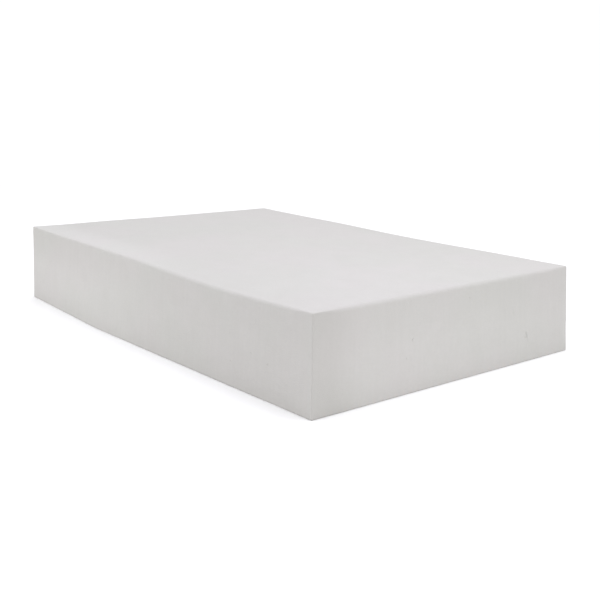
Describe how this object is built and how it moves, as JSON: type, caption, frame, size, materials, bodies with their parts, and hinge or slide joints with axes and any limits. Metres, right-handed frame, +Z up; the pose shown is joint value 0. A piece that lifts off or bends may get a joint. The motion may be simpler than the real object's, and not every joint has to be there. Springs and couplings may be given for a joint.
{
  "type": "memory foam mattress",
  "caption": "Bare rectangular mattress block of memory foam bonded over a transition foam and a firm support core, with flush cut sides and flat faces to lie on and to rest on.",
  "frame": {"origin": "middle of the underside, on the surface that the mattress lies on", "axes": "+Z up through the thickness, +Y along the length, +X across the width"},
  "size_m": [0.6096, 0.9144, 0.1524],
  "materials": {
    "memory_foam": "matte off-white open-cell foam, smooth sliced face",
    "transition_foam": "matte off-white open-cell foam, saw-cut sides",
    "support_foam": "matte off-white open-cell foam, saw-cut sides",
    "foam_glue": "thin dried water-based foam adhesive, milky"
  },
  "bodies": {
    "root": {"support_core": "support_foam", "lower_glue_film": "foam_glue", "transition_layer": "transition_foam", "upper_glue_film": "foam_glue", "memory_foam_layer": "memory_foam"}
  },
  "joints": []
}
